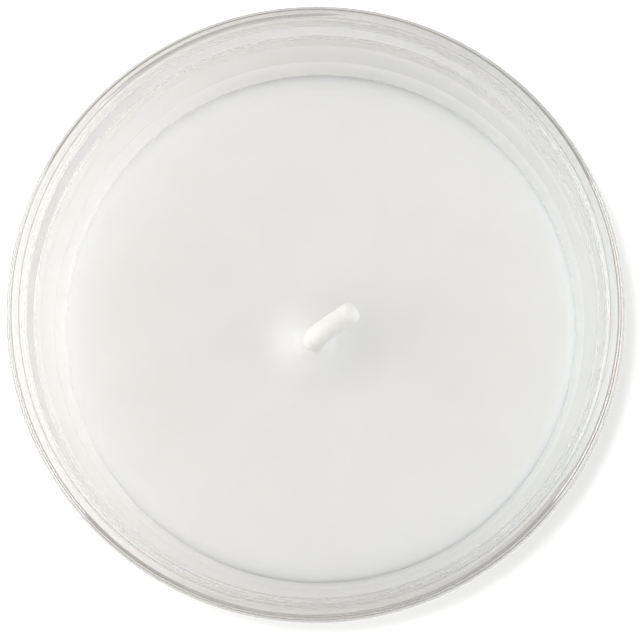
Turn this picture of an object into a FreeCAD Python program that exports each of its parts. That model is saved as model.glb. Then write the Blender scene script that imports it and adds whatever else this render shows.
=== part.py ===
import FreeCAD, Part

import math
import os

import Sketcher

# A poured votive candle in a clear pressed-glass cup.
# The frame is in millimetres with +Z up. The origin is on the cup's axis, in the plane of its standing ring.
# The cup is one glass piece: a thick floor, a domed underside, a tapered wall that thins towards the rim,
# and a rounded lip. A shoulder runs round the inside a little below the lip, where the lip's even wall
# begins. The wax is poured in, so it fills the cup exactly, climbs a little at the glass and stands in a low
# mound round the wick. The wick is crimped in a pressed tin holder, and a glue dot holds that to the floor.
# Wick, holder and dot sit a little off the cup's axis, to the left and to the front, as they set in the wax.

DIMENSIONS = [
    ("glass_height", 78.0),
    ("rim_diameter", 70.0),
    ("foot_diameter", 56.0),
    ("lip_wall", 2.35),
    ("foot_wall", 5.9),
    ("shoulder_drop", 6.0),
    ("floor_thickness", 8.0),
    ("heel_radius", 5.0),
    ("inner_heel_radius", 7.0),
    ("outer_lip_radius", 1.0),
    ("inner_lip_radius", 1.0),
    ("standing_ring_width", 2.4),
    ("punt_rise", 1.2),
    ("wax_below_rim", 20.0),
    ("meniscus_climb", 0.8),
    ("meniscus_radius", 2.5),
    ("mound_height", 1.8),
    ("mound_diameter", 15.0),
    ("mound_sink", 0.02),
    ("collar_radius", 1.1),
    ("wick_diameter", 2.6),
    ("wick_tip_rounding", 1.0),
    ("wick_stand", 0.8),
    ("wick_bend_radius", 3.0),
    ("wick_lean", 74.0),
    ("wick_heading", 33.0),
    ("wick_tip_length", 3.95),
    ("wick_shift_left", 0.6),
    ("wick_shift_front", 1.8),
    ("holder_diameter", 15.0),
    ("holder_sheet", 0.3),
    ("holder_neck_height", 4.5),
    ("holder_neck_fillet", 0.6),
    ("glue_diameter", 11.0),
    ("glue_thickness", 0.8),
]

# Where each point of a sketch element is, in the sketcher's own numbering
START, END, CENTRE = range(1, 4)
X_AXIS, Y_AXIS = range(-1, -3, -1)
ORIGIN = (X_AXIS, START)

doc = FreeCAD.newDocument("VotiveCandle")


def make_sheet():
    """The spreadsheet with every driving dimension, one named cell each."""
    sheet = doc.addObject("Spreadsheet::Sheet", "Sizes")
    for row, (name, value) in enumerate(DIMENSIONS, start=1):
        sheet.set(f"A{row}", name)
        sheet.set(f"B{row}", str(value))
        sheet.setAlias(f"B{row}", name)
    doc.recompute()
    return sheet


sizes = make_sheet()


def size(name):
    """A driving dimension as a number, for a sketch's first guess."""
    return float(sizes.get(name))


def new_body(label):
    body = doc.addObject("PartDesign::Body", label)
    body.Label = label
    return body


def new_sketch(body, name, role="XZ_Plane"):
    """A sketch on one of the body's own origin planes. On XZ_Plane its x is +X and its y is +Z."""
    sketch = body.newObject("Sketcher::SketchObject", name)
    plane = next(f for f in body.Origin.OriginFeatures if f.Role == role)
    sketch.AttachmentSupport = [(plane, "")]
    sketch.MapMode = "FlatFace"
    return sketch


class Profile:
    """Draws in a sketch: adds lines and arcs, ties them together and binds their sizes to the sheet."""

    def __init__(self, sketch):
        self.sketch = sketch

    def line(self, start, end, construction=False):
        segment = Part.LineSegment(FreeCAD.Vector(*start, 0), FreeCAD.Vector(*end, 0))
        return self.sketch.addGeometry(segment, construction)

    def arc(self, centre, radius, from_degrees, to_degrees):
        circle = Part.Circle(FreeCAD.Vector(*centre, 0), FreeCAD.Vector(0, 0, 1), radius)
        arc = Part.ArcOfCircle(circle, math.radians(from_degrees), math.radians(to_degrees))
        return self.sketch.addGeometry(arc, False)

    def circle(self, centre, radius):
        circle = Part.Circle(FreeCAD.Vector(*centre, 0), FreeCAD.Vector(0, 0, 1), radius)
        return self.sketch.addGeometry(circle, False)

    def tie(self, kind, *where):
        return self.sketch.addConstraint(Sketcher.Constraint(kind, *where))

    def bind(self, kind, *where, name, to):
        """A dimension called name, driven by an expression of the sheet's cells."""
        place = self.sketch.addConstraint(Sketcher.Constraint(kind, *where))
        self.sketch.renameConstraint(place, name)
        self.sketch.setExpression(f"Constraints.{name}", to)


def revolve(body, sketch, name):
    """Turns a closed half profile once round the sketch's vertical axis."""
    turned = body.newObject("PartDesign::Revolution", name)
    turned.Profile = sketch
    turned.ReferenceAxis = (sketch, ["V_Axis"])
    turned.Angle = 360.0
    sketch.Visibility = False
    return turned


def inner_wall_ends():
    """First guesses for the inner wall below the shoulder: its lower and upper end."""
    height, top = size("glass_height"), size("glass_height") - size("shoulder_drop")
    foot, rim = size("foot_diameter") / 2, size("rim_diameter") / 2
    shoulder = foot + (rim - foot) * top / height - size("lip_wall")
    return (foot - size("foot_wall"), 0), (shoulder, top)


def draw_inner_wall_guide(profile):
    """The cup's inner wall below the shoulder as a guide line, shared by the glass and the wax."""
    low, high = inner_wall_ends()
    guide = profile.line(low, high, construction=True)
    profile.tie("PointOnObject", guide, START, X_AXIS)
    profile.bind(
        "DistanceX", *ORIGIN, guide, START, low[0],
        name="inner_foot_radius", to="Sizes.foot_diameter / 2 - Sizes.foot_wall",
    )
    profile.bind(
        "DistanceX", *ORIGIN, guide, END, high[0],
        name="shoulder_radius",
        to="(Sizes.foot_diameter * Sizes.shoulder_drop"
        " + Sizes.rim_diameter * (Sizes.glass_height - Sizes.shoulder_drop))"
        " / (2 * Sizes.glass_height) - Sizes.lip_wall",
    )
    profile.bind(
        "DistanceY", *ORIGIN, guide, END, high[1],
        name="shoulder_height", to="Sizes.glass_height - Sizes.shoulder_drop",
    )
    return guide


def make_glass_cup():
    """The cup: one closed half section, turned round the axis."""
    height = size("glass_height")
    foot, rim, wall = size("foot_diameter") / 2, size("rim_diameter") / 2, size("lip_wall")
    floor, heel, inner_heel = size("floor_thickness"), size("heel_radius"), size("inner_heel_radius")
    outer_lip, inner_lip = size("outer_lip_radius"), size("inner_lip_radius")
    punt, rise = foot - heel - size("standing_ring_width"), size("punt_rise")
    dome = (punt**2 + rise**2) / (2 * rise)
    slope = math.degrees(math.atan((rim - foot) / height))
    inner_foot, shoulder = inner_wall_ends()
    taper = (shoulder[0] - inner_foot[0]) / shoulder[1]
    inner_slope = math.degrees(math.atan(taper))

    body = new_body("glass_cup")
    sketch = new_sketch(body, "CupSection")
    draw = Profile(sketch)

    outer_guide = draw.line((foot, 0), (rim, height), construction=True)
    draw.tie("PointOnObject", outer_guide, START, X_AXIS)
    draw.bind(
        "DistanceX", *ORIGIN, outer_guide, START, foot,
        name="foot_radius", to="Sizes.foot_diameter / 2",
    )
    draw.bind(
        "DistanceX", *ORIGIN, outer_guide, END, rim,
        name="rim_radius", to="Sizes.rim_diameter / 2",
    )
    draw.bind(
        "DistanceY", *ORIGIN, outer_guide, END, height,
        name="outer_guide_top", to="Sizes.glass_height",
    )
    inner_guide = draw_inner_wall_guide(draw)

    # First guesses for the places where the rounds meet the walls
    heel_start = (foot - heel, 0)
    outer_low = (foot + 0.3, heel)
    outer_high = (rim - 0.1, height - outer_lip)
    top_outer, top_inner = (rim - outer_lip, height), (rim - wall + inner_lip, height)
    inner_high = (rim - wall - 0.1, height - inner_lip)
    inner_low = (inner_foot[0] + taper * (floor + inner_heel), floor + inner_heel)
    floor_edge = (inner_low[0] - inner_heel, floor)

    underside = draw.arc((0, rise - dome), dome, math.degrees(math.acos(punt / dome)), 90)
    ring = draw.line((punt, 0), heel_start)
    heel_arc = draw.arc((foot - heel, heel), heel, 270, 360 - slope)
    outer_wall = draw.line(outer_low, outer_high)
    outer_lip_arc = draw.arc((rim - outer_lip, height - outer_lip), outer_lip, -slope, 90)
    top = draw.line(top_outer, top_inner)
    inner_lip_arc = draw.arc((rim - wall + inner_lip, height - inner_lip), inner_lip, 90, 180 - slope)
    lip_inside = draw.line(inner_high, shoulder)
    inner_wall = draw.line(shoulder, inner_low)
    inner_heel_arc = draw.arc((floor_edge[0], floor + inner_heel), inner_heel, 270, 360 - inner_slope)
    floor_line = draw.line(floor_edge, (0, floor))
    axis_line = draw.line((0, floor), (0, rise))

    # The domed underside meets the axis level and ends at the standing ring
    draw.tie("PointOnObject", underside, CENTRE, Y_AXIS)
    draw.tie("Coincident", underside, END, axis_line, END)
    draw.tie("Coincident", underside, START, ring, START)
    draw.tie("PointOnObject", ring, START, X_AXIS)
    draw.tie("Horizontal", ring)
    draw.bind(
        "DistanceX", ring, START, ring, END, size("standing_ring_width"),
        name="ring_width", to="Sizes.standing_ring_width",
    )
    draw.bind(
        "DistanceY", *ORIGIN, axis_line, END, rise,
        name="punt_rise", to="Sizes.punt_rise",
    )

    # Heel, wall and lip follow each other smoothly
    draw.tie("Tangent", ring, END, heel_arc, START)
    draw.tie("Tangent", heel_arc, END, outer_wall, START)
    draw.tie("PointOnObject", outer_wall, START, outer_guide)
    draw.tie("PointOnObject", outer_wall, END, outer_guide)
    draw.tie("Tangent", outer_wall, END, outer_lip_arc, START)
    draw.tie("Tangent", outer_lip_arc, END, top, START)
    draw.tie("Tangent", top, END, inner_lip_arc, START)
    draw.tie("Tangent", inner_lip_arc, END, lip_inside, START)

    # The lip's wall is even down to the shoulder, and the inner wall goes on from there
    draw.tie("Parallel", lip_inside, outer_guide)
    draw.tie("Coincident", lip_inside, END, inner_guide, END)
    draw.tie("Coincident", inner_wall, START, inner_guide, END)
    draw.tie("PointOnObject", inner_wall, END, inner_guide)
    draw.tie("Tangent", inner_wall, END, inner_heel_arc, END)
    draw.tie("Tangent", inner_heel_arc, START, floor_line, START)
    draw.tie("Coincident", floor_line, END, axis_line, START)
    draw.tie("Horizontal", top)
    draw.tie("Horizontal", floor_line)
    draw.tie("Vertical", axis_line)
    draw.tie("PointOnObject", axis_line, START, Y_AXIS)
    draw.bind("Radius", heel_arc, heel, name="heel_radius", to="Sizes.heel_radius")
    draw.bind("Radius", outer_lip_arc, outer_lip, name="outer_lip", to="Sizes.outer_lip_radius")
    draw.bind("Radius", inner_lip_arc, inner_lip, name="inner_lip", to="Sizes.inner_lip_radius")
    draw.bind("Radius", inner_heel_arc, inner_heel, name="inner_heel", to="Sizes.inner_heel_radius")
    draw.bind(
        "DistanceY", *ORIGIN, top, START, height,
        name="glass_height", to="Sizes.glass_height",
    )
    draw.bind(
        "DistanceY", *ORIGIN, axis_line, START, floor,
        name="floor_thickness", to="Sizes.floor_thickness",
    )
    revolve(body, sketch, "CupTurned")
    return body


def make_wick():
    """The wax-coated wick: upright from the holder, then bent over, its end rounded by the wax dip."""
    radius = size("wick_diameter") / 2
    base = size("floor_thickness") + size("glue_thickness")
    bend_start = size("glass_height") - size("wax_below_rim") + size("mound_height")
    bend_start += size("collar_radius") + size("wick_stand")
    bend, lean, tip = size("wick_bend_radius"), size("wick_lean"), size("wick_tip_length")

    body = new_body("wick")
    path = new_sketch(body, "WickPath")
    draw = Profile(path)
    arc_end = (
        bend * (1 - math.cos(math.radians(lean))),
        bend_start + bend * math.sin(math.radians(lean)),
    )
    tip_end = (
        arc_end[0] + tip * math.sin(math.radians(lean)),
        arc_end[1] + tip * math.cos(math.radians(lean)),
    )
    upright = draw.line((0, base), (0, bend_start))
    bend_arc = draw.arc((bend, bend_start), bend, 180 - lean, 180)
    tip_line = draw.line(arc_end, tip_end)
    draw.tie("Vertical", upright)
    draw.tie("PointOnObject", upright, START, Y_AXIS)
    draw.tie("Tangent", upright, END, bend_arc, END)
    draw.tie("Tangent", bend_arc, START, tip_line, START)
    draw.bind(
        "DistanceY", *ORIGIN, upright, START, base,
        name="wick_base", to="Sizes.floor_thickness + Sizes.glue_thickness",
    )
    draw.bind(
        "DistanceY", *ORIGIN, upright, END, bend_start,
        name="bend_start",
        to="Sizes.glass_height - Sizes.wax_below_rim + Sizes.mound_height"
        " + Sizes.collar_radius + Sizes.wick_stand",
    )
    draw.bind("Radius", bend_arc, bend, name="bend_radius", to="Sizes.wick_bend_radius")
    draw.bind("Distance", tip_line, tip, name="tip_length", to="Sizes.wick_tip_length")
    draw.bind("Angle", tip_line, math.radians(90 - lean), name="lean", to="90 - Sizes.wick_lean")

    section = new_sketch(body, "WickSection", role="XY_Plane")
    round_section = Profile(section)
    outline = round_section.circle((0, 0), radius)
    round_section.tie("Coincident", outline, CENTRE, *ORIGIN)
    round_section.bind("Diameter", outline, 2 * radius, name="wick_diameter", to="Sizes.wick_diameter")
    section.setExpression("AttachmentOffset.Base.z", "Sizes.floor_thickness + Sizes.glue_thickness")
    doc.recompute()

    pipe = body.newObject("PartDesign::AdditivePipe", "WickSwept")
    pipe.Profile = section
    pipe.Spine = (path, ["Edge1", "Edge2", "Edge3"])
    doc.recompute()

    # The tip's edge is the highest closed circle of the swept wick
    closed = [i for i, edge in enumerate(pipe.Shape.Edges) if edge.isClosed()]
    tip_edge = max(closed, key=lambda i: pipe.Shape.Edges[i].CenterOfMass.z)
    rounding = body.newObject("PartDesign::Fillet", "WickTipRounded")
    rounding.Base = (pipe, [f"Edge{tip_edge + 1}"])
    rounding.setExpression("Radius", "Sizes.wick_tip_rounding")
    for sketch in (path, section):
        sketch.Visibility = False

    body.Placement.Rotation = FreeCAD.Rotation(FreeCAD.Vector(0, 0, 1), size("wick_heading"))
    body.setExpression("Placement.Rotation.Angle", "Sizes.wick_heading")
    return body


def make_wick_holder():
    """The pressed tin holder: a thin round plate drawn up into the neck that grips the wick."""
    bore, plate, sheet = size("wick_diameter") / 2, size("holder_diameter") / 2, size("holder_sheet")
    neck, fillet = size("holder_neck_height"), size("holder_neck_fillet")
    base = size("floor_thickness") + size("glue_thickness")

    body = new_body("wick_holder")
    sketch = new_sketch(body, "HolderSection")
    draw = Profile(sketch)
    bottom = draw.line((bore, base), (plate, base))
    plate_edge = draw.line((plate, base), (plate, base + sheet))
    plate_top = draw.line((plate, base + sheet), (bore + sheet + fillet, base + sheet))
    root = draw.arc((bore + sheet + fillet, base + sheet + fillet), fillet, 180, 270)
    neck_side = draw.line((bore + sheet, base + sheet + fillet), (bore + sheet, base + neck))
    neck_top = draw.line((bore + sheet, base + neck), (bore, base + neck))
    grip = draw.line((bore, base + neck), (bore, base))
    draw.tie("Coincident", bottom, END, plate_edge, START)
    draw.tie("Coincident", plate_edge, END, plate_top, START)
    draw.tie("Tangent", plate_top, END, root, END)
    draw.tie("Tangent", root, START, neck_side, START)
    draw.tie("Coincident", neck_side, END, neck_top, START)
    draw.tie("Coincident", neck_top, END, grip, START)
    draw.tie("Coincident", grip, END, bottom, START)
    for level in (bottom, plate_top, neck_top):
        draw.tie("Horizontal", level)
    for upright in (plate_edge, neck_side, grip):
        draw.tie("Vertical", upright)
    draw.bind("DistanceX", *ORIGIN, bottom, START, bore, name="bore", to="Sizes.wick_diameter / 2")
    draw.bind(
        "DistanceX", *ORIGIN, bottom, END, plate,
        name="plate_radius", to="Sizes.holder_diameter / 2",
    )
    draw.bind(
        "DistanceY", *ORIGIN, bottom, START, base,
        name="plate_base", to="Sizes.floor_thickness + Sizes.glue_thickness",
    )
    draw.bind("DistanceY", plate_edge, START, plate_edge, END, sheet, name="sheet", to="Sizes.holder_sheet")
    draw.bind("DistanceX", neck_top, END, neck_top, START, sheet, name="neck_sheet", to="Sizes.holder_sheet")
    draw.bind(
        "DistanceY", bottom, START, neck_top, END, neck,
        name="neck_height", to="Sizes.holder_neck_height",
    )
    draw.bind("Radius", root, fillet, name="neck_fillet", to="Sizes.holder_neck_fillet")
    revolve(body, sketch, "HolderTurned")
    return body


def make_glue_dot():
    """The pressed-flat dot of glue under the holder, with a bulged edge."""
    edge, thickness = size("glue_diameter") / 2, size("glue_thickness")
    floor = size("floor_thickness")
    flat = edge - thickness / 2

    body = new_body("glue_dot")
    sketch = new_sketch(body, "GlueSection")
    draw = Profile(sketch)
    bottom = draw.line((0, floor), (flat, floor))
    bulge = draw.arc((flat, floor + thickness / 2), thickness / 2, 270, 450)
    top = draw.line((flat, floor + thickness), (0, floor + thickness))
    axis_line = draw.line((0, floor + thickness), (0, floor))
    draw.tie("Tangent", bottom, END, bulge, START)
    draw.tie("Tangent", bulge, END, top, START)
    draw.tie("Coincident", top, END, axis_line, START)
    draw.tie("Coincident", axis_line, END, bottom, START)
    draw.tie("Horizontal", bottom)
    draw.tie("Horizontal", top)
    draw.tie("PointOnObject", axis_line, START, Y_AXIS)
    draw.tie("PointOnObject", axis_line, END, Y_AXIS)
    draw.bind(
        "DistanceX", *ORIGIN, bottom, END, flat,
        name="glue_flat", to="(Sizes.glue_diameter - Sizes.glue_thickness) / 2",
    )
    draw.bind(
        "DistanceY", *ORIGIN, bottom, START, floor,
        name="glue_base", to="Sizes.floor_thickness",
    )
    draw.bind(
        "DistanceY", bottom, START, top, END, thickness,
        name="glue_thickness", to="Sizes.glue_thickness",
    )
    revolve(body, sketch, "GlueTurned")
    return body


def make_wax_pour():
    """The poured wax before the wick, holder and dot are taken out of it."""
    level = size("glass_height") - size("wax_below_rim")
    floor, inner_heel = size("floor_thickness"), size("inner_heel_radius")
    climb, curve = size("meniscus_climb"), size("meniscus_radius")
    (inner_foot, _), shoulder = inner_wall_ends()
    taper = (shoulder[0] - inner_foot) / shoulder[1]
    edge_top = inner_foot + taper * (level + climb)
    run = math.sqrt(curve**2 - (curve - climb) ** 2)

    body = new_body("wax_pour")
    sketch = new_sketch(body, "WaxSection")
    draw = Profile(sketch)
    guide = draw_inner_wall_guide(draw)
    floor_edge = inner_foot + taper * (floor + inner_heel) - inner_heel
    floor_line = draw.line((0, floor), (floor_edge, floor))
    heel_end = 360 - math.degrees(math.atan(taper))
    heel_arc = draw.arc((floor_edge, floor + inner_heel), inner_heel, 270, heel_end)
    wall = draw.line((floor_edge + inner_heel, floor + inner_heel), (edge_top, level + climb))
    meniscus = draw.arc(
        (edge_top - run, level + curve), curve, 270,
        270 + math.degrees(math.acos(1 - climb / curve)),
    )
    surface = draw.line((edge_top - run, level), (0, level))
    axis_line = draw.line((0, level), (0, floor))
    draw.tie("Coincident", axis_line, END, floor_line, START)
    draw.tie("Tangent", floor_line, END, heel_arc, START)
    draw.tie("Tangent", heel_arc, END, wall, START)
    draw.tie("PointOnObject", wall, START, guide)
    draw.tie("PointOnObject", wall, END, guide)
    draw.tie("Coincident", wall, END, meniscus, END)
    draw.tie("Tangent", meniscus, START, surface, START)
    draw.tie("Coincident", surface, END, axis_line, START)
    draw.tie("Horizontal", floor_line)
    draw.tie("Horizontal", surface)
    draw.tie("PointOnObject", axis_line, START, Y_AXIS)
    draw.tie("PointOnObject", axis_line, END, Y_AXIS)
    draw.bind("Radius", heel_arc, inner_heel, name="inner_heel", to="Sizes.inner_heel_radius")
    draw.bind("Radius", meniscus, curve, name="meniscus_radius", to="Sizes.meniscus_radius")
    draw.bind(
        "DistanceY", *ORIGIN, axis_line, END, floor,
        name="floor_thickness", to="Sizes.floor_thickness",
    )
    draw.bind(
        "DistanceY", *ORIGIN, axis_line, START, level,
        name="wax_level", to="Sizes.glass_height - Sizes.wax_below_rim",
    )
    draw.bind(
        "DistanceY", surface, START, wall, END, climb,
        name="meniscus_climb", to="Sizes.meniscus_climb",
    )
    revolve(body, sketch, "WaxTurned")
    add_mound(body)
    return body


def add_mound(body):
    """The low mound round the wick: a soft swell, with a small collar where the wax climbs the wick."""
    level = size("glass_height") - size("wax_below_rim")
    foot, height, sink = size("mound_diameter") / 2, size("mound_height"), size("mound_sink")
    wick, collar = size("wick_diameter") / 2, size("collar_radius")
    total = height + sink
    swell = (foot**2 + total**2) / (4 * total)
    middle = math.degrees(math.asin(foot / 2 / swell))
    base = level - sink
    buried = base - collar

    sketch = new_sketch(body, "MoundSection")
    sketch.setExpression("AttachmentOffset.Base.x", "-Sizes.wick_shift_left")
    sketch.setExpression("AttachmentOffset.Base.z", "Sizes.wick_shift_front")
    draw = Profile(sketch)
    top_height = level + height + collar
    bottom = draw.line((0, buried), (foot, buried))
    side = draw.line((foot, buried), (foot, base))
    hollow = draw.arc((foot, base + swell), swell, 270 - middle, 270)
    crown = draw.arc(
        (0, level + height - swell), swell, 90 - middle,
        90 - math.degrees(math.asin((wick + collar) / swell)),
    )
    collar_arc = draw.arc((wick + collar, top_height), collar, 180, 265)
    top = draw.line((wick, top_height), (0, top_height))
    axis_line = draw.line((0, top_height), (0, buried))
    draw.tie("Coincident", bottom, END, side, START)
    draw.tie("Coincident", side, END, hollow, END)
    draw.tie("Tangent", hollow, START, crown, START)
    draw.tie("Tangent", crown, END, collar_arc, END)
    draw.tie("Coincident", collar_arc, START, top, START)
    draw.tie("Coincident", top, END, axis_line, START)
    draw.tie("Coincident", axis_line, END, bottom, START)
    draw.tie("Horizontal", bottom)
    draw.tie("Horizontal", top)
    draw.tie("Vertical", side)
    draw.tie("PointOnObject", axis_line, START, Y_AXIS)
    draw.tie("PointOnObject", axis_line, END, Y_AXIS)
    # The swell is level at its foot and at the axis, and its two arcs are alike
    draw.tie("Vertical", hollow, END, hollow, CENTRE)
    draw.tie("PointOnObject", crown, CENTRE, Y_AXIS)
    draw.tie("Equal", hollow, crown)
    draw.tie("Horizontal", collar_arc, START, collar_arc, CENTRE)
    draw.bind(
        "DistanceX", *ORIGIN, side, END, foot,
        name="mound_radius", to="Sizes.mound_diameter / 2",
    )
    draw.bind(
        "DistanceY", *ORIGIN, side, END, base,
        name="mound_base", to="Sizes.glass_height - Sizes.wax_below_rim - Sizes.mound_sink",
    )
    draw.bind(
        "DistanceY", side, START, side, END, base - buried,
        name="mound_buried", to="Sizes.collar_radius",
    )
    # The crown's centre lies one arc radius below the mound's height, and the hollow's one above its base
    draw.bind(
        "DistanceY", crown, CENTRE, hollow, CENTRE, 2 * swell - total,
        name="swell_centres",
        to="(Sizes.mound_diameter ^ 2 / 4 - (Sizes.mound_height + Sizes.mound_sink) ^ 2)"
        " / (2 * (Sizes.mound_height + Sizes.mound_sink))",
    )
    draw.bind("Radius", collar_arc, collar, name="collar_radius", to="Sizes.collar_radius")
    draw.bind(
        "DistanceX", *ORIGIN, top, START, wick,
        name="wick_side", to="Sizes.wick_diameter / 2",
    )
    revolve(body, sketch, "MoundTurned")


def shift_off_axis(body):
    """Moves a piece of the wick's group from the cup's axis to where it set in the wax."""
    body.setExpression("Placement.Base.x", "-Sizes.wick_shift_left")
    body.setExpression("Placement.Base.y", "-Sizes.wick_shift_front")


def cut_out(base, tool, name):
    """What is left of base once tool's room is taken out of it."""
    cut = doc.addObject("Part::Cut", name)
    cut.Base = base
    cut.Tool = tool
    return cut


def check(nodes):
    """Stops unless every object is sound and every node is a closed, valid solid."""
    for item in doc.Objects:
        bad = [word for word in item.State if word in ("Invalid", "Error")]
        if bad:
            raise RuntimeError(f"{item.Name} failed: {bad}")
    for item in doc.Objects:
        if item.TypeId == "Sketcher::SketchObject" and item.solve() != 0:
            raise RuntimeError(f"sketch {item.Name} doesn't solve")
    for node in nodes:
        shape = node.Shape
        if shape.isNull() or not shape.isValid() or not shape.Solids:
            raise RuntimeError(f"{node.Label} has no valid solid")
        if not all(solid.isClosed() and solid.Volume > 0 for solid in shape.Solids):
            raise RuntimeError(f"{node.Label} isn't closed")


def write(nodes):
    """Writes each node's shape to its own file, and prints what it is."""
    os.makedirs("parts", exist_ok=True)
    for node in nodes:
        node.Shape.exportStep(os.path.join("parts", f"{node.Label}.step"))
        box = node.Shape.optimalBoundingBox(False, False)
        print(
            f"{node.Label}: {len(node.Shape.Solids)} solid, {node.Shape.Volume:.1f} mm3,"
            f" {box.XLength:.2f} x {box.YLength:.2f} x {box.ZLength:.2f} mm,"
            f" z {box.ZMin:.2f} to {box.ZMax:.2f}"
        )


def main():
    glass_cup = make_glass_cup()
    wick = make_wick()
    wick_holder = make_wick_holder()
    glue_dot = make_glue_dot()
    for piece in (wick, wick_holder, glue_dot):
        shift_off_axis(piece)
    wax_pour = make_wax_pour()
    doc.recompute()

    round_wick = cut_out(wax_pour, wick, "WaxRoundWick")
    round_holder = cut_out(round_wick, wick_holder, "WaxRoundHolder")
    wax_fill = cut_out(round_holder, glue_dot, "WaxRoundGlue")
    wax_fill.Label = "wax_fill"
    doc.recompute()

    nodes = [glass_cup, wax_fill, wick, wick_holder, glue_dot]
    check(nodes)
    write(nodes)


main()
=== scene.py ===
import math

import bmesh
import bpy
from mathutils import Matrix, Vector


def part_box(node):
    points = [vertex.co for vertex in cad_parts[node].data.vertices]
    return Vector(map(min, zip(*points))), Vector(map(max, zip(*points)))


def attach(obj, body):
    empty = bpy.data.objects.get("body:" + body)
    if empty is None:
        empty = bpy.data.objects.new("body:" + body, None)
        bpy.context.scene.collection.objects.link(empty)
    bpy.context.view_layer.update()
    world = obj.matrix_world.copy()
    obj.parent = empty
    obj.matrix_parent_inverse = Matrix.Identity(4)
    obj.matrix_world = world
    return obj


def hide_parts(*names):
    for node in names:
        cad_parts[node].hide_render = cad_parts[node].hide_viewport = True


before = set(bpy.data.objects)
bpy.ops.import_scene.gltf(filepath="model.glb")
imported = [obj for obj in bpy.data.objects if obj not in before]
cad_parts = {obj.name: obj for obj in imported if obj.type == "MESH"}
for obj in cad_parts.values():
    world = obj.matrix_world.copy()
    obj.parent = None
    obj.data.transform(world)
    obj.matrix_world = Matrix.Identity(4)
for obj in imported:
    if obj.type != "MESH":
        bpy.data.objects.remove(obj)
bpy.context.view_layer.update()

# A poured votive candle in a clear pressed-glass cup, seen almost straight from above.
# Lengths are metres. Sizes that the frame gives are read from it, and the others are the part's own.
MM = 0.001

# A box is its lowest and highest corner, so these are the cup's top and the feet of the wax and the wick
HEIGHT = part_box("glass_cup")[1][2]
WAX_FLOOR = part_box("wax_fill")[0][2]
WICK_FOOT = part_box("wick")[0][2]

# The glass
RIM_RADIUS = 35.0 * MM
FOOT_RADIUS = 28.0 * MM
LIP_WALL = 2.35 * MM
FOOT_WALL = 5.9 * MM
SHOULDER = HEIGHT - 6.0 * MM
HEEL = 5.0 * MM
INNER_HEEL = 7.0 * MM
OUTER_LIP = 1.0 * MM
INNER_LIP = 1.0 * MM
# The plunger leaves a faint ledge at the shoulder, where the thin wall above it starts
SHOULDER_LEDGE = 0.14 * MM
LEDGE_ROUNDING = 0.03 * MM
# The underside is a shallow dome inside the standing ring
PUNT_RADIUS = 21.0 * MM
PUNT_RISE = 1.2 * MM
SLOPE = math.atan((RIM_RADIUS - FOOT_RADIUS) / HEIGHT)
INNER_FOOT = FOOT_RADIUS - FOOT_WALL
SHOULDER_RADIUS = FOOT_RADIUS + SHOULDER * math.tan(SLOPE) - LIP_WALL
INNER_SLOPE = math.atan((SHOULDER_RADIUS - INNER_FOOT) / SHOULDER)

# The wax, and the mound round the wick
WAX_LEVEL = HEIGHT - 20.0 * MM
MENISCUS_CLIMB = 0.8 * MM
MENISCUS_RADIUS = 2.5 * MM
MOUND_HEIGHT = 1.8 * MM
MOUND_RADIUS = 7.5 * MM
# The radius of the hollow round the wick's root, fuller than the solid's, so that the wax closes on the wick
COLLAR = 2.6 * MM
# The wax wets the glass, so its skin lies this far past the glass's face, with no film of air between
WETTING = 0.04 * MM

# The wick: its bend's radius, its lean and heading in degrees, and the straight reach beyond the bend
WICK_RADIUS = 1.3 * MM
WICK_AXIS = Vector((-0.6 * MM, -1.8 * MM, 0))
WICK_BEND = 3.0 * MM
WICK_LEAN = 74.0
WICK_HEADING = 33.0
WICK_TIP = 3.95 * MM
WICK_TIP_ROUNDING = 1.0 * MM
# How far above the mound's crown the wick starts to bend
WICK_STAND = 1.9 * MM

# How finely the forms are divided
AROUND = 320
LIP_STEPS = 28
HEEL_STEPS = 20
HOLLOW_STEPS = 16
WALL_STEPS = 12
LIP_WALL_STEPS = 4
WAX_RINGS = 110
WICK_AROUND = 40
WICK_STEM_STEPS = 60
WICK_BEND_STEPS = 14
WICK_REACH_STEPS = 10
TIP_STEPS = 10
# Points nearer than this are one, and points this far under the wax's level still belong to its surface
SAME_POINT = 0.0001 * MM
SURFACE_MARGIN = 0.01 * MM

# Most of a noise's values lie between these
NOISE_SPAN = (0.3, 0.7)

# The studio's light by how high a direction points: grey walls, a dark band over them, a bright ceiling
ROOM_LIGHT = ((0.45, 0.60), (0.65, 0.0), (0.85, 1.20))
ROOM_TINT = (1.0, 0.99, 0.968)

# The softboxes: name, place, width, height, power in watts and colour
SOFTBOX_AIM = (0, 0, 0.03)
SOFTBOXES = (
    ("left_softbox", (-0.60, 0.0, 0.17), 0.8, 0.34, 2.35, (1.0, 0.985, 0.96)),
    ("right_softbox", (0.60, 0.0, 0.17), 0.8, 0.34, 2.3, (0.90, 0.97, 1.0)),
    ("back_softbox", (0, 0.65, 0.25), 0.8, 0.4, 0.3, (1.0, 1.0, 1.0)),
    ("upper_left_softbox", (-0.50, 0.05, 0.50), 0.5, 0.4, 1.0, (1.0, 1.0, 1.0)),
)

# The camera: where it stands, what it looks at, and its focal length in millimetres
EYE = Vector((12.13 * MM, -33.16 * MM, 410.5 * MM))
AIM = Vector((0.60 * MM, -0.96 * MM, 76.8 * MM))
LENS = 167.15

# The floor, and the light that it adds where it is seen plainly, in a painted shadow round the foot and
# through the glass
FLOOR_REACH = 3.0
FLOOR_LIFT, PAINTED_SHADOW_LIFT, GLASS_LIFT = 0.70, 0.30, 0.08
# The painted shadow: a soft-edged disc round the foot, inside which the floor adds less light
PAINTED_SHADOW_CENTRE = Vector((-1.0 * MM, 5.9 * MM, 0))
PAINTED_SHADOW_FULL, PAINTED_SHADOW_END = 41.5 * MM, 44.6 * MM

# How often light may turn inside the glass, and be mirrored, before it is given up
GLASS_TURNS = 24
MIRROR_TURNS = 12


# Section drawing: a half section is one point drawn along by extruding and spinning it


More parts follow.
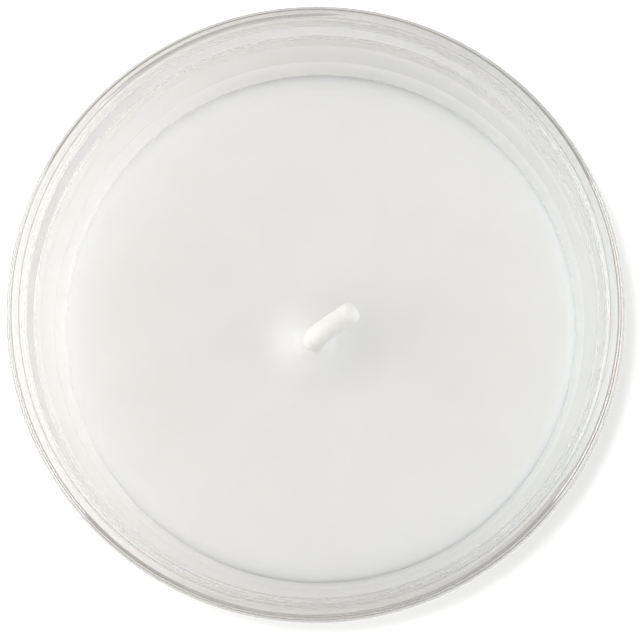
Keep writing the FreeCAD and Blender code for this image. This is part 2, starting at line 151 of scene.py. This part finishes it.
def pen(bm, radius, height):
    return bm.verts.new((radius, 0, height))


def line_to(bm, point, radius, height):
    """Draws a straight edge from the last point, and gives the new last point."""
    drawn = bmesh.ops.extrude_vert_indiv(bm, verts=[point])
    drawn["verts"][0].co = (radius, 0, height)
    return drawn["verts"][0]


def arc_about(bm, point, centre, degrees, steps):
    """Draws an arc about a centre (radius, height), anticlockwise in the section, and gives its end."""
    drawn = bmesh.ops.spin(
        bm, geom=[point], cent=(centre[0], 0, centre[1]), axis=(0, 1, 0),
        angle=-math.radians(degrees), steps=steps, use_duplicate=False,
    )
    return next(item for item in drawn["geom_last"] if isinstance(item, bmesh.types.BMVert))


def turn(bm):
    """Turns the drawn section once round the cup's axis and closes the poles."""
    bmesh.ops.spin(
        bm, geom=bm.verts[:] + bm.edges[:], cent=(0, 0, 0), axis=(0, 0, 1),
        angle=math.tau, steps=AROUND, use_merge=True, use_duplicate=False,
    )
    bmesh.ops.remove_doubles(bm, verts=bm.verts, dist=SAME_POINT)
    bmesh.ops.dissolve_degenerate(bm, edges=bm.edges, dist=SAME_POINT)


def finished(bm, name, material):
    """Makes the piece's object from its mesh, smooth all over, with faces pointing out."""
    bmesh.ops.recalc_face_normals(bm, faces=bm.faces)
    for face in bm.faces:
        face.smooth = True
    mesh = bpy.data.meshes.new(name)
    bm.to_mesh(mesh)
    bm.free()
    mesh.materials.append(material)
    piece = bpy.data.objects.new(name, mesh)
    bpy.context.scene.collection.objects.link(piece)
    return piece


def beside_wall(slope, foot_radius, height, inside):
    """The radius, at a height, of a point that lies a given way inside a wall's sloping face."""
    return foot_radius + height * math.tan(slope) - inside / math.cos(slope)


# Materials


def new_material(name):
    material = bpy.data.materials.new(name)
    material.use_nodes = True
    nodes, links = material.node_tree.nodes, material.node_tree.links
    nodes.clear()
    output = nodes.new("ShaderNodeOutputMaterial")
    return material, nodes, links, output


def grain(nodes, links, size, detail, stretch=(1, 1, 1)):
    """A noise on the piece's own coordinates, whose lumps are about the given size."""
    coordinates = nodes.new("ShaderNodeTexCoord")
    mapping = nodes.new("ShaderNodeMapping")
    mapping.inputs["Scale"].default_value = [part / size for part in stretch]
    texture = nodes.new("ShaderNodeTexNoise")
    texture.inputs["Scale"].default_value = 1.0
    texture.inputs["Detail"].default_value = detail
    links.new(coordinates.outputs["Object"], mapping.inputs["Vector"])
    links.new(mapping.outputs["Vector"], texture.inputs["Vector"])
    return texture.outputs["Fac"]


def tone(nodes, links, factor, dark, light):
    """A colour that runs from dark to light as a noise rises."""
    ramp = nodes.new("ShaderNodeValToRGB")
    for stop, position, colour in zip(ramp.color_ramp.elements, NOISE_SPAN, (dark, light)):
        stop.position = position
        stop.color = (*colour, 1)
    links.new(factor, ramp.inputs["Fac"])
    return ramp.outputs["Color"]


def worked_out(nodes, links, operation, *parts):
    """The value that a Math node works out from plain numbers and sockets."""
    node = nodes.new("ShaderNodeMath")
    node.operation = operation
    for socket, part in zip(node.inputs, parts):
        if isinstance(part, bpy.types.NodeSocket):
            links.new(part, socket)
        else:
            socket.default_value = part
    return node.outputs["Value"]


def relief(nodes, links, factor, depth, under=None):
    """A bump whose full depth is given in metres, laid over another bump if there is one under it."""
    bump = nodes.new("ShaderNodeBump")
    bump.inputs["Strength"].default_value = 1.0
    bump.inputs["Distance"].default_value = depth
    links.new(factor, bump.inputs["Height"])
    if under is not None:
        links.new(under, bump.inputs["Normal"])
    return bump.outputs["Normal"]


def make_glass():
    """Clear pressed glass: faint waves in its skin, and light passes it to what stands behind."""
    material, nodes, links, output = new_material("pressed_glass")
    glass = nodes.new("ShaderNodeBsdfPrincipled")
    glass.inputs["Base Color"].default_value = (1.0, 1.0, 1.0, 1)
    glass.inputs["Roughness"].default_value = 0.0
    glass.inputs["IOR"].default_value = 1.5
    glass.inputs["Transmission Weight"].default_value = 1.0
    waves = grain(nodes, links, 16 * MM, detail=1.0)
    links.new(relief(nodes, links, waves, 0.004 * MM), glass.inputs["Normal"])
    passing = nodes.new("ShaderNodeBsdfTransparent")
    passing.inputs["Color"].default_value = (0.92, 0.92, 0.92, 1)
    ray = nodes.new("ShaderNodeLightPath").outputs
    lighting = worked_out(nodes, links, "MAXIMUM", ray["Is Shadow Ray"], ray["Is Diffuse Ray"])
    mix = nodes.new("ShaderNodeMixShader")
    links.new(lighting, mix.inputs["Fac"])
    links.new(glass.outputs["BSDF"], mix.inputs[1])
    links.new(passing.outputs["BSDF"], mix.inputs[2])
    links.new(mix.outputs["Shader"], output.inputs["Surface"])
    body = nodes.new("ShaderNodeVolumeAbsorption")
    body.inputs["Color"].default_value = (0.46, 0.38, 0.30, 1)
    body.inputs["Density"].default_value = 3.5
    links.new(body.outputs["Volume"], output.inputs["Volume"])
    return material


def make_wax(name, shine, dark, light):
    """White poured wax: satin, cloudy just under the skin, with a barely uneven surface."""
    material, nodes, links, output = new_material(name)
    wax = nodes.new("ShaderNodeBsdfPrincipled")
    clouds = grain(nodes, links, 6 * MM, detail=4.0)
    links.new(tone(nodes, links, clouds, dark, light), wax.inputs["Base Color"])
    wax.inputs["Roughness"].default_value = 0.42
    wax.inputs["IOR"].default_value = 1.44
    wax.inputs["Specular IOR Level"].default_value = shine
    wax.inputs["Subsurface Weight"].default_value = 1.0
    wax.inputs["Subsurface Radius"].default_value = (1.0, 0.95, 0.9)
    wax.inputs["Subsurface Scale"].default_value = 11.0 * MM
    swell = grain(nodes, links, 14 * MM, detail=1.0)
    pores = grain(nodes, links, 0.5 * MM, detail=2.0)
    rolling = relief(nodes, links, swell, 0.15 * MM)
    links.new(relief(nodes, links, pores, 0.004 * MM, under=rolling), wax.inputs["Normal"])
    links.new(wax.outputs["BSDF"], output.inputs["Surface"])
    return material


def make_wick_finish():
    """Braided cotton under a coat of wax, so the braid barely shows."""
    material, nodes, links, output = new_material("waxed_braid")
    cotton = nodes.new("ShaderNodeBsdfPrincipled")
    fibres = grain(nodes, links, 0.6 * MM, detail=3.0)
    cream = tone(nodes, links, fibres, (0.76, 0.755, 0.735), (0.79, 0.785, 0.765))
    links.new(cream, cotton.inputs["Base Color"])
    cotton.inputs["Roughness"].default_value = 0.6
    cotton.inputs["Specular IOR Level"].default_value = 0.25
    cotton.inputs["Subsurface Weight"].default_value = 1.0
    cotton.inputs["Subsurface Radius"].default_value = (1.0, 0.95, 0.9)
    cotton.inputs["Subsurface Scale"].default_value = 2.0 * MM
    links.new(relief(nodes, links, fibres, 0.03 * MM), cotton.inputs["Normal"])
    links.new(cotton.outputs["BSDF"], output.inputs["Surface"])
    return material


def make_tin():
    """Pressed tin plate with fine rolling lines."""
    material, nodes, links, output = new_material("rolled_tin")
    tin = nodes.new("ShaderNodeBsdfPrincipled")
    rolled = grain(nodes, links, 0.4 * MM, detail=2.0, stretch=(0.05, 1, 1))
    links.new(tone(nodes, links, rolled, (0.62, 0.63, 0.64), (0.74, 0.75, 0.76)), tin.inputs["Base Color"])
    tin.inputs["Metallic"].default_value = 1.0
    tin.inputs["Roughness"].default_value = 0.35
    links.new(relief(nodes, links, rolled, 0.01 * MM), tin.inputs["Normal"])
    links.new(tin.outputs["BSDF"], output.inputs["Surface"])
    return material


def make_glue():
    """Cloudy hot-melt glue."""
    material, nodes, links, output = new_material("set_glue")
    glue = nodes.new("ShaderNodeBsdfPrincipled")
    clouds = grain(nodes, links, 2 * MM, detail=3.0)
    links.new(tone(nodes, links, clouds, (0.78, 0.77, 0.72), (0.86, 0.85, 0.80)), glue.inputs["Base Color"])
    glue.inputs["Roughness"].default_value = 0.4
    links.new(relief(nodes, links, clouds, 0.03 * MM), glue.inputs["Normal"])
    links.new(glue.outputs["BSDF"], output.inputs["Surface"])
    return material


# Pieces


def build_cup(material):
    """The glass cup, turned from its section: domed underside, heel, wall, lip, inside wall and floor."""
    slope, inner_slope = math.degrees(SLOPE), math.degrees(INNER_SLOPE)
    dome = (PUNT_RADIUS**2 + PUNT_RISE**2) / (2 * PUNT_RISE)
    dome_turn = math.degrees(math.asin(PUNT_RADIUS / dome))
    heel_centre = (beside_wall(SLOPE, FOOT_RADIUS, HEEL, HEEL), HEEL)
    outer_lip_centre = (
        beside_wall(SLOPE, FOOT_RADIUS, HEIGHT - OUTER_LIP, OUTER_LIP), HEIGHT - OUTER_LIP,
    )
    inner_lip_centre = (
        beside_wall(SLOPE, FOOT_RADIUS - LIP_WALL, HEIGHT - INNER_LIP, -INNER_LIP), HEIGHT - INNER_LIP,
    )
    inner_heel = WAX_FLOOR + INNER_HEEL
    inner_heel_centre = (beside_wall(INNER_SLOPE, INNER_FOOT, inner_heel, INNER_HEEL), inner_heel)

    def straight_to(point, radius, height, steps):
        start, end = point.co.copy(), Vector((radius, 0, height))
        for step in range(1, steps + 1):
            level = start.lerp(end, step / steps)
            point = line_to(bm, point, level.x, level.z)
        return point

    bm = bmesh.new()
    point = pen(bm, 0, PUNT_RISE)
    point = arc_about(bm, point, (0, PUNT_RISE - dome), -dome_turn, HOLLOW_STEPS)
    point = line_to(bm, point, heel_centre[0], 0)
    point = arc_about(bm, point, heel_centre, 90 - slope, HEEL_STEPS)
    point = straight_to(
        point, outer_lip_centre[0] + OUTER_LIP * math.cos(SLOPE),
        outer_lip_centre[1] - OUTER_LIP * math.sin(SLOPE), WALL_STEPS,
    )
    point = arc_about(bm, point, outer_lip_centre, 90 + slope, LIP_STEPS)
    point = line_to(bm, point, inner_lip_centre[0], HEIGHT)
    point = arc_about(bm, point, inner_lip_centre, 90 - slope, LIP_STEPS)
    ledge = SHOULDER_RADIUS + SHOULDER_LEDGE
    point = straight_to(point, ledge + LEDGE_ROUNDING, SHOULDER + 2 * LEDGE_ROUNDING, LIP_WALL_STEPS)
    point = line_to(bm, point, ledge, SHOULDER + LEDGE_ROUNDING)
    point = line_to(bm, point, SHOULDER_RADIUS + LEDGE_ROUNDING, SHOULDER)
    point = line_to(bm, point, SHOULDER_RADIUS, SHOULDER - LEDGE_ROUNDING)
    reach = 4 * LEDGE_ROUNDING
    point = line_to(bm, point, SHOULDER_RADIUS - reach * math.tan(INNER_SLOPE), SHOULDER - reach)
    point = straight_to(
        point, inner_heel_centre[0] + INNER_HEEL * math.cos(INNER_SLOPE),
        inner_heel_centre[1] - INNER_HEEL * math.sin(INNER_SLOPE), WALL_STEPS,
    )
    point = arc_about(bm, point, inner_heel_centre, -(90 - inner_slope), HOLLOW_STEPS)
    line_to(bm, point, 0, WAX_FLOOR)
    turn(bm)
    return finished(bm, "cup_glass", material)


def mound_above(distance):
    """How far the wax stands above its level at a distance from the wick's axis."""
    swell = (MOUND_RADIUS**2 + MOUND_HEIGHT**2) / (4 * MOUND_HEIGHT)
    if distance >= MOUND_RADIUS:
        return 0.0
    if distance > MOUND_RADIUS / 2:
        return swell - math.sqrt(swell**2 - (MOUND_RADIUS - distance) ** 2)
    # The collar's arc touches the crown's, both centres lying on one line through the point of touch
    centre = WICK_RADIUS + COLLAR
    centre_height = MOUND_HEIGHT - swell + math.sqrt((swell + COLLAR) ** 2 - centre**2)
    if distance >= centre * swell / (swell + COLLAR):
        return MOUND_HEIGHT - swell + math.sqrt(swell**2 - distance**2)
    reach = min(centre - distance, COLLAR)
    return centre_height - math.sqrt(COLLAR**2 - reach**2)


def build_wax(skin, lighter_painted_at_glass):
    """The poured wax: it fills the cup, climbs at the glass and stands in a mound round the wick."""
    inner_foot, slope = INNER_FOOT + WETTING, math.degrees(INNER_SLOPE)
    inner_heel = WAX_FLOOR + INNER_HEEL
    heel_centre = (beside_wall(INNER_SLOPE, inner_foot, inner_heel, INNER_HEEL), inner_heel)
    edge_height = WAX_LEVEL + MENISCUS_CLIMB
    edge = (beside_wall(INNER_SLOPE, inner_foot, edge_height, 0), edge_height)
    turned = math.degrees(math.acos(1 - MENISCUS_CLIMB / MENISCUS_RADIUS))
    run = MENISCUS_RADIUS * math.sin(math.radians(turned))
    bm = bmesh.new()
    point = pen(bm, 0, WAX_FLOOR - WETTING)
    point = line_to(bm, point, heel_centre[0], WAX_FLOOR - WETTING)
    point = arc_about(bm, point, (heel_centre[0], heel_centre[1] - WETTING), 90 - slope, HOLLOW_STEPS)
    point = line_to(bm, point, *edge)
    point = arc_about(bm, point, (edge[0] - run, WAX_LEVEL + MENISCUS_RADIUS), -turned, HOLLOW_STEPS)
    for step in range(WAX_RINGS - 1, -1, -1):
        point = line_to(bm, point, (edge[0] - run) * step / WAX_RINGS, WAX_LEVEL)
    turn(bm)
    for vert in bm.verts:
        if vert.co.z > WAX_LEVEL - SURFACE_MARGIN:
            from_wick = (vert.co.xy - WICK_AXIS.xy).length
            vert.co.z += mound_above(from_wick)
    # Faces in the open air take the wax's own colour, and those against the glass the copy painted whiter
    # and warmer
    for face in bm.faces:
        open_air = all(vert.co.z > WAX_LEVEL - SURFACE_MARGIN for vert in face.verts)
        face.material_index = 0 if open_air else 1
    piece = finished(bm, "wax_pour", skin)
    piece.data.materials.append(lighter_painted_at_glass)
    return piece


def build_wick(material):
    """The wick: a round rod, upright out of the wax, bent over, its tip rounded by the dip."""
    bend_start = WAX_LEVEL + MOUND_HEIGHT + WICK_STAND
    bm = bmesh.new()
    ring = bmesh.ops.create_circle(bm, segments=WICK_AROUND, radius=WICK_RADIUS)["verts"]
    bmesh.ops.translate(bm, verts=ring, vec=(0, 0, WICK_FOOT))
    bmesh.ops.contextual_create(bm, geom=ring)
    edges = [edge for edge in bm.edges if all(vert in ring for vert in edge.verts)]

    def draw_out(edges, way, steps):
        for _ in range(steps):
            drawn = bmesh.ops.extrude_edge_only(bm, edges=edges)["geom"]
            verts = [item for item in drawn if isinstance(item, bmesh.types.BMVert)]
            bmesh.ops.translate(bm, verts=verts, vec=way / steps)
            edges = [
                item for item in drawn
                if isinstance(item, bmesh.types.BMEdge) and all(vert in verts for vert in item.verts)
            ]
        return edges

    edges = draw_out(edges, Vector((0, 0, bend_start - WICK_FOOT)), WICK_STEM_STEPS)
    lean = math.radians(WICK_LEAN)
    spun = bmesh.ops.spin(
        bm, geom=edges, cent=(WICK_BEND, 0, bend_start), axis=(0, 1, 0),
        angle=lean, steps=WICK_BEND_STEPS, use_duplicate=False,
    )
    edges = [item for item in spun["geom_last"] if isinstance(item, bmesh.types.BMEdge)]
    out = Vector((math.sin(lean), 0, math.cos(lean)))
    # The last reach is one step long, so that the tip's rounding finds room
    last = WICK_RADIUS
    edges = draw_out(edges, out * (WICK_TIP - last), WICK_REACH_STEPS)
    edges = draw_out(edges, out * last, 1)
    tip = bmesh.ops.contextual_create(bm, geom=edges)["faces"]
    bmesh.ops.bevel(
        bm, geom=tip[0].edges[:], offset=WICK_TIP_ROUNDING, segments=TIP_STEPS, profile=0.5,
        affect="EDGES", material=-1, clamp_overlap=True,
    )
    bmesh.ops.recalc_face_normals(bm, faces=bm.faces)
    bmesh.ops.rotate(
        bm, verts=bm.verts, cent=(0, 0, 0), matrix=Matrix.Rotation(math.radians(WICK_HEADING), 3, "Z"),
    )
    bmesh.ops.translate(bm, verts=bm.verts, vec=WICK_AXIS)
    return finished(bm, "wick_braid", material)


# Studio


def make_floor():
    """A plain pale floor that shows white and keeps the candle's own shadow, with a painted shadow where it
    glows less in a disc round the foot.
    """
    bm = bmesh.new()
    bmesh.ops.create_grid(bm, x_segments=1, y_segments=1, size=FLOOR_REACH)
    material, nodes, links, output = new_material("floor_white")
    paper = nodes.new("ShaderNodeBsdfDiffuse")
    paper.inputs["Color"].default_value = (0.6, 0.6, 0.6, 1)
    glow = nodes.new("ShaderNodeEmission")
    glow.inputs["Color"].default_value = (1, 1, 1, 1)
    # A ray that smooth glass bends counts as glossy too, so it is taken away from the mirrored ones
    ray = nodes.new("ShaderNodeLightPath").outputs
    mirrored = worked_out(nodes, links, "SUBTRACT", ray["Is Glossy Ray"], ray["Is Transmission Ray"])
    plainly = worked_out(nodes, links, "MAXIMUM", ray["Is Camera Ray"], mirrored)
    # A painted shadow: the glow is lower inside a disc round the foot, and rises to full at the disc's soft
    # edge
    place = nodes.new("ShaderNodeTexCoord")
    from_painted_shadow = nodes.new("ShaderNodeVectorMath")
    from_painted_shadow.operation = "DISTANCE"
    from_painted_shadow.inputs[1].default_value = PAINTED_SHADOW_CENTRE
    links.new(place.outputs["Object"], from_painted_shadow.inputs[0])
    painted_shadow = nodes.new("ShaderNodeMapRange")
    painted_shadow.interpolation_type = "SMOOTHSTEP"
    painted_shadow.inputs["From Min"].default_value = PAINTED_SHADOW_FULL
    painted_shadow.inputs["From Max"].default_value = PAINTED_SHADOW_END
    painted_shadow.inputs["To Min"].default_value = PAINTED_SHADOW_LIFT
    painted_shadow.inputs["To Max"].default_value = FLOOR_LIFT
    links.new(from_painted_shadow.outputs["Value"], painted_shadow.inputs["Value"])
    through_glass = worked_out(nodes, links, "MULTIPLY", ray["Is Transmission Ray"], GLASS_LIFT)
    lift = worked_out(nodes, links, "MULTIPLY_ADD", plainly, painted_shadow.outputs["Result"], through_glass)
    links.new(lift, glow.inputs["Strength"])
    both = nodes.new("ShaderNodeAddShader")
    links.new(paper.outputs["BSDF"], both.inputs[0])
    links.new(glow.outputs["Emission"], both.inputs[1])
    links.new(both.outputs["Shader"], output.inputs["Surface"])
    floor = finished(bm, "floor", material)


def make_world():
    """The room's light on the candle, and white where the camera looks past the floor."""
    world = bpy.data.worlds.new("studio")
    bpy.context.scene.world = world
    world.use_nodes = True
    nodes, links = world.node_tree.nodes, world.node_tree.links
    nodes.clear()
    output = nodes.new("ShaderNodeOutputWorld")
    direction = nodes.new("ShaderNodeTexCoord")
    parts = nodes.new("ShaderNodeSeparateXYZ")
    links.new(direction.outputs["Generated"], parts.inputs["Vector"])
    ramp = nodes.new("ShaderNodeValToRGB")
    stops = ramp.color_ramp.elements
    stops.new(ROOM_LIGHT[1][0])
    for stop, (position, light) in zip(stops, ROOM_LIGHT):
        stop.position = position
        stop.color = (*(light * part for part in ROOM_TINT), 1)
    links.new(parts.outputs["Z"], ramp.inputs["Fac"])
    room = nodes.new("ShaderNodeBackground")
    links.new(ramp.outputs["Color"], room.inputs["Color"])
    white = nodes.new("ShaderNodeBackground")
    white.inputs["Color"].default_value = (1, 1, 1, 1)
    white.inputs["Strength"].default_value = 1.0
    ray = nodes.new("ShaderNodeLightPath").outputs
    mix = nodes.new("ShaderNodeMixShader")
    links.new(ray["Is Camera Ray"], mix.inputs["Fac"])
    links.new(room.outputs["Background"], mix.inputs[1])
    links.new(white.outputs["Background"], mix.inputs[2])
    links.new(mix.outputs["Shader"], output.inputs["Surface"])


def add_softbox(name, place, width, height, power, colour):
    light = bpy.data.lights.new(name, "AREA")
    light.shape = "RECTANGLE"
    light.size = width
    light.size_y = height
    light.energy = power
    light.color = colour
    lamp = bpy.data.objects.new(name, light)
    lamp.location = place
    lamp.rotation_euler = (Vector(SOFTBOX_AIM) - Vector(place)).to_track_quat("-Z", "Y").to_euler()
    bpy.context.scene.collection.objects.link(lamp)


def add_camera():
    """Looks down into the cup from a little to the right and in front."""
    data = bpy.data.cameras.new("camera")
    data.sensor_width = 36.0
    data.lens = LENS
    data.clip_start = 0.01
    camera = bpy.data.objects.new("camera", data)
    camera.location = EYE
    back = (EYE - AIM).normalized()
    up = back.cross(Vector((1, 0, 0))).normalized()
    right = up.cross(back).normalized()
    camera.rotation_euler = Matrix((right, up, back)).transposed().to_euler()
    bpy.context.scene.collection.objects.link(camera)
    bpy.context.scene.camera = camera


def main():
    scene = bpy.context.scene
    scene.view_settings.view_transform = "Standard"
    scene.cycles.max_bounces = GLASS_TURNS
    scene.cycles.transmission_bounces = GLASS_TURNS
    scene.cycles.glossy_bounces = MIRROR_TURNS
    scene.cycles.transparent_max_bounces = GLASS_TURNS

    cup = build_cup(make_glass())
    # Where the wax lies against the glass it has no shine of its own, and its colour there is painted whiter
    # and warmer, painted light for the light that reaches its side through the glass
    pour = build_wax(
        make_wax("poured_wax", 0.5, (0.81, 0.806, 0.794), (0.828, 0.825, 0.814)),
        make_wax("poured_wax_at_glass_painted_lighter", 0.0, (0.94, 0.92, 0.885), (0.96, 0.94, 0.905)),
    )
    braid = build_wick(make_wick_finish())
    for piece, node, slot in (
        (cup, "glass_cup", "clear_glass"),
        (pour, "wax_fill", "white_wax"),
        (braid, "wick", "waxed_cotton"),
    ):
        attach(piece, "root")
        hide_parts(node)
    for node, material in (("wick_holder", make_tin()), ("glue_dot", make_glue())):
        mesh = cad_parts[node].data
        mesh.materials.clear()
        mesh.materials.append(material)

    make_floor()
    make_world()
    for softbox in SOFTBOXES:
        add_softbox(*softbox)
    add_camera()


main()
